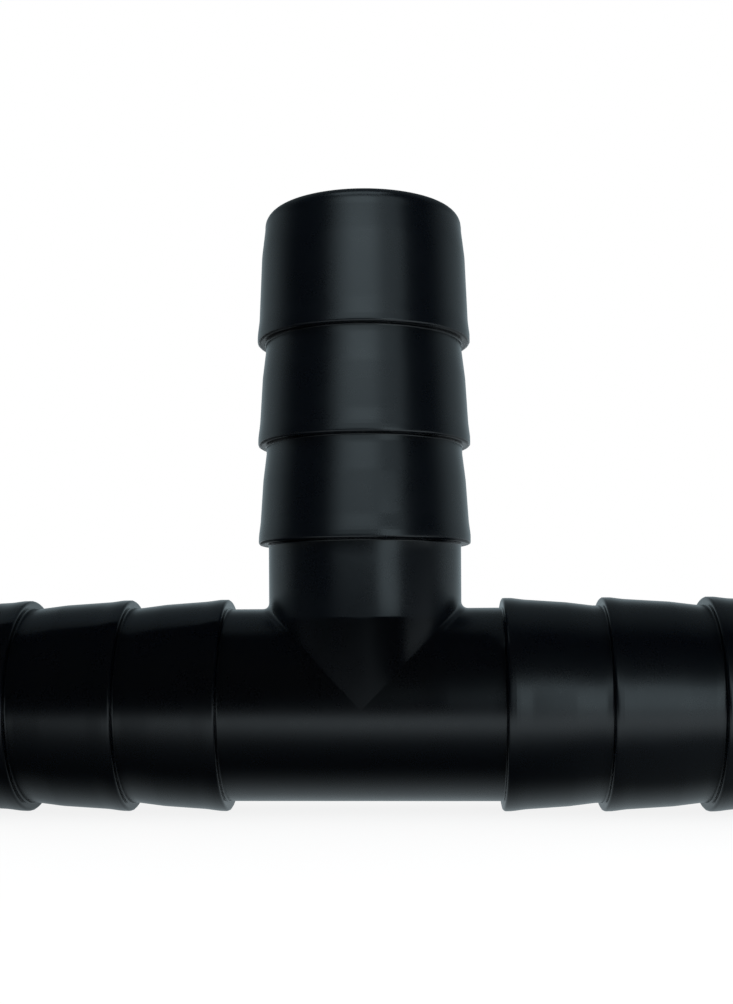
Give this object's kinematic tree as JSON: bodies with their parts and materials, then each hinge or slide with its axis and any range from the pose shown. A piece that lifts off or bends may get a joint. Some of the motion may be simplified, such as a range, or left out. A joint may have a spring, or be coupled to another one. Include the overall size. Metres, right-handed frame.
{
  "type": "barbed tee connector",
  "caption": "Black moulded tee that joins soft irrigation hoses: a straight run and a square branch, each end a tapered barbed spigot that a hose is pushed over.",
  "frame": {"origin": "where the axes of the run's bore and the branch's bore cross", "axes": "+X along the run towards the right spigot, +Z along the branch towards its mouth, Y across the tee"},
  "size_m": [0.0702, 0.016, 0.0449],
  "materials": {
    "black_plastic": "black moulded polyolefin, semi-gloss with fine flow marks and a slight orange peel"
  },
  "bodies": {
    "root": {"hub": "black_plastic", "left_spigot": "black_plastic", "right_spigot": "black_plastic", "branch_spigot": "black_plastic"}
  },
  "joints": []
}
